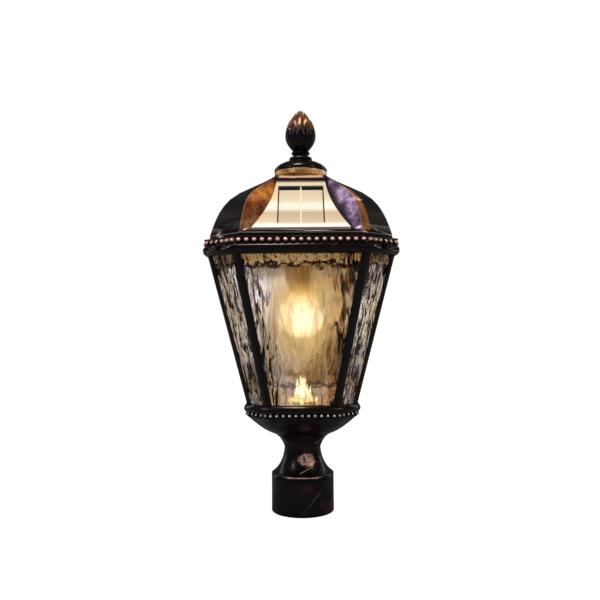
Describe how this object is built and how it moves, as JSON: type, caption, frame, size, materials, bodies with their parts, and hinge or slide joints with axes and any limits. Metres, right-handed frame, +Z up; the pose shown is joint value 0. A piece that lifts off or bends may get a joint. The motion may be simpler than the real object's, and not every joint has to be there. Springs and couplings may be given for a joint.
{
  "type": "solar post lantern",
  "caption": "Eight-sided glass post lantern with beaded rims, a domed roof that carries solar panels, a leafy finial, a bulb inside and an ogee bowl on a post fitter.",
  "frame": {"origin": "middle of the fitter's bottom edge, on the lantern's upright axis", "axes": "+Z up, -Y towards the front face that the picture shows, +X to the right of it"},
  "size_m": [0.2508, 0.2508, 0.558],
  "materials": {
    "fitter_bronze": "oil-rubbed bronze, brushed, worn to copper on the neck",
    "rim_bronze": "oil-rubbed bronze, satin",
    "post_bronze": "oil-rubbed bronze, satin",
    "roof_bronze": "mottled oil-rubbed bronze, satin",
    "frame_bronze": "polished light bronze",
    "cap_bronze": "near-black bronze",
    "finial_bronze": "near-black bronze with a rubbed gold tip",
    "dark_screw": "blackened steel",
    "plain_screw": "zinc-plated",
    "clear_glass": "clear, rippled",
    "clip_brass": "satin",
    "nipple_brass": "machined",
    "gasket_rubber": "matte",
    "tray_metal": "warm cream enamel",
    "reflector": "bright",
    "solar_glass": "dark laminate under smooth glass",
    "solar_cell": "dark blue silicon",
    "board_green": "solder mask",
    "nylon": "natural",
    "box_plastic": "fine grain",
    "cell_sleeve": "shrink sleeve over a metal can",
    "knob_red": "smooth",
    "socket_white": "smooth",
    "bulb_metal": "bright",
    "bulb_plastic": "smooth",
    "bulb_glass": "warm frosted"
  },
  "bodies": {
    "lantern": {"post_fitter": "fitter_bronze", "neck_nipple": "nipple_brass", "nipple_nuts": "plain_screw", "base_bowl": "fitter_bronze", "bottom_rim": "rim_bronze", "base_plate": "tray_metal", "base_screws": "plain_screw", "reflector_cone": "reflector", "corner_post_1": "post_bronze", "corner_post_2": "post_bronze", "corner_post_3": "post_bronze", "corner_post_4": "post_bronze", "corner_post_5": "post_bronze", "corner_post_6": "post_bronze", "corner_post_7": "post_bronze", "corner_post_8": "post_bronze", "glass_front": "clear_glass", "glass_right": "clear_glass", "glass_rear": "clear_glass", "glass_left": "clear_glass", "corner_glass_1": "clear_glass", "corner_glass_2": "clear_glass", "corner_glass_3": "clear_glass", "corner_glass_4": "clear_glass", "glass_clips": "clip_brass", "top_rim": "rim_bronze", "roof_gasket": "gasket_rubber", "roof_screws": "dark_screw"},
    "roof": {"roof_shell": "roof_bronze", "panel_frame_front": "frame_bronze", "panel_frame_right": "frame_bronze", "panel_frame_rear": "frame_bronze", "panel_frame_left": "frame_bronze", "solar_panel_front": "solar_glass", "solar_panel_right": "solar_glass", "solar_panel_rear": "solar_glass", "solar_panel_left": "solar_glass", "solar_cells": "solar_cell", "frame_screws": "plain_screw", "roof_cap": "cap_bronze", "finial": "finial_bronze", "finial_stud": "plain_screw", "finial_nut": "plain_screw", "ceiling_tray": "tray_metal", "tray_screws": "plain_screw", "circuit_board": "board_green", "board_spacers": "nylon", "battery_box": "box_plastic", "batteries": "cell_sleeve", "battery_contacts": "clip_brass", "switch_body": "box_plastic", "lamp_socket": "socket_white"},
    "bulb": {"bulb_cap": "bulb_metal", "bulb_housing": "bulb_plastic", "bulb_globe": "bulb_glass"},
    "battery_cover": {"battery_cover": "box_plastic"},
    "switch_knob": {"switch_knob": "knob_red"},
    "set_screw_rear": {"set_screw_rear": "dark_screw"},
    "set_screw_left": {"set_screw_left": "dark_screw"},
    "set_screw_right": {"set_screw_right": "dark_screw"}
  },
  "joints": [
    {"name": "roof_lift", "type": "slide", "parent": "lantern", "child": "roof", "axis": [0, 0, 1], "range_m": [0, 0.19]},
    {"name": "bulb_unscrew", "type": "slide", "parent": "roof", "child": "bulb", "axis": [0, 0, -1], "range_m": [0, 0.026]},
    {"name": "battery_cover_hinge", "type": "hinge", "parent": "roof", "child": "battery_cover", "pos_m": [0, 0.0713, 0.3498], "axis": [1, 0, 0], "range_deg": [0, 100]},
    {"name": "switch_slide", "type": "slide", "parent": "roof", "child": "switch_knob", "axis": [1, 0, 0], "range_m": [0, 0.006]},
    {"name": "set_screw_rear_travel", "type": "slide", "parent": "lantern", "child": "set_screw_rear", "axis": [0, -1, 0], "range_m": [0, 0.0025]},
    {"name": "set_screw_left_travel", "type": "slide", "parent": "lantern", "child": "set_screw_left", "axis": [0.866, 0.5, 0], "range_m": [0, 0.0025]},
    {"name": "set_screw_right_travel", "type": "slide", "parent": "lantern", "child": "set_screw_right", "axis": [-0.866, 0.5, 0], "range_m": [0, 0.0025]}
  ]
}
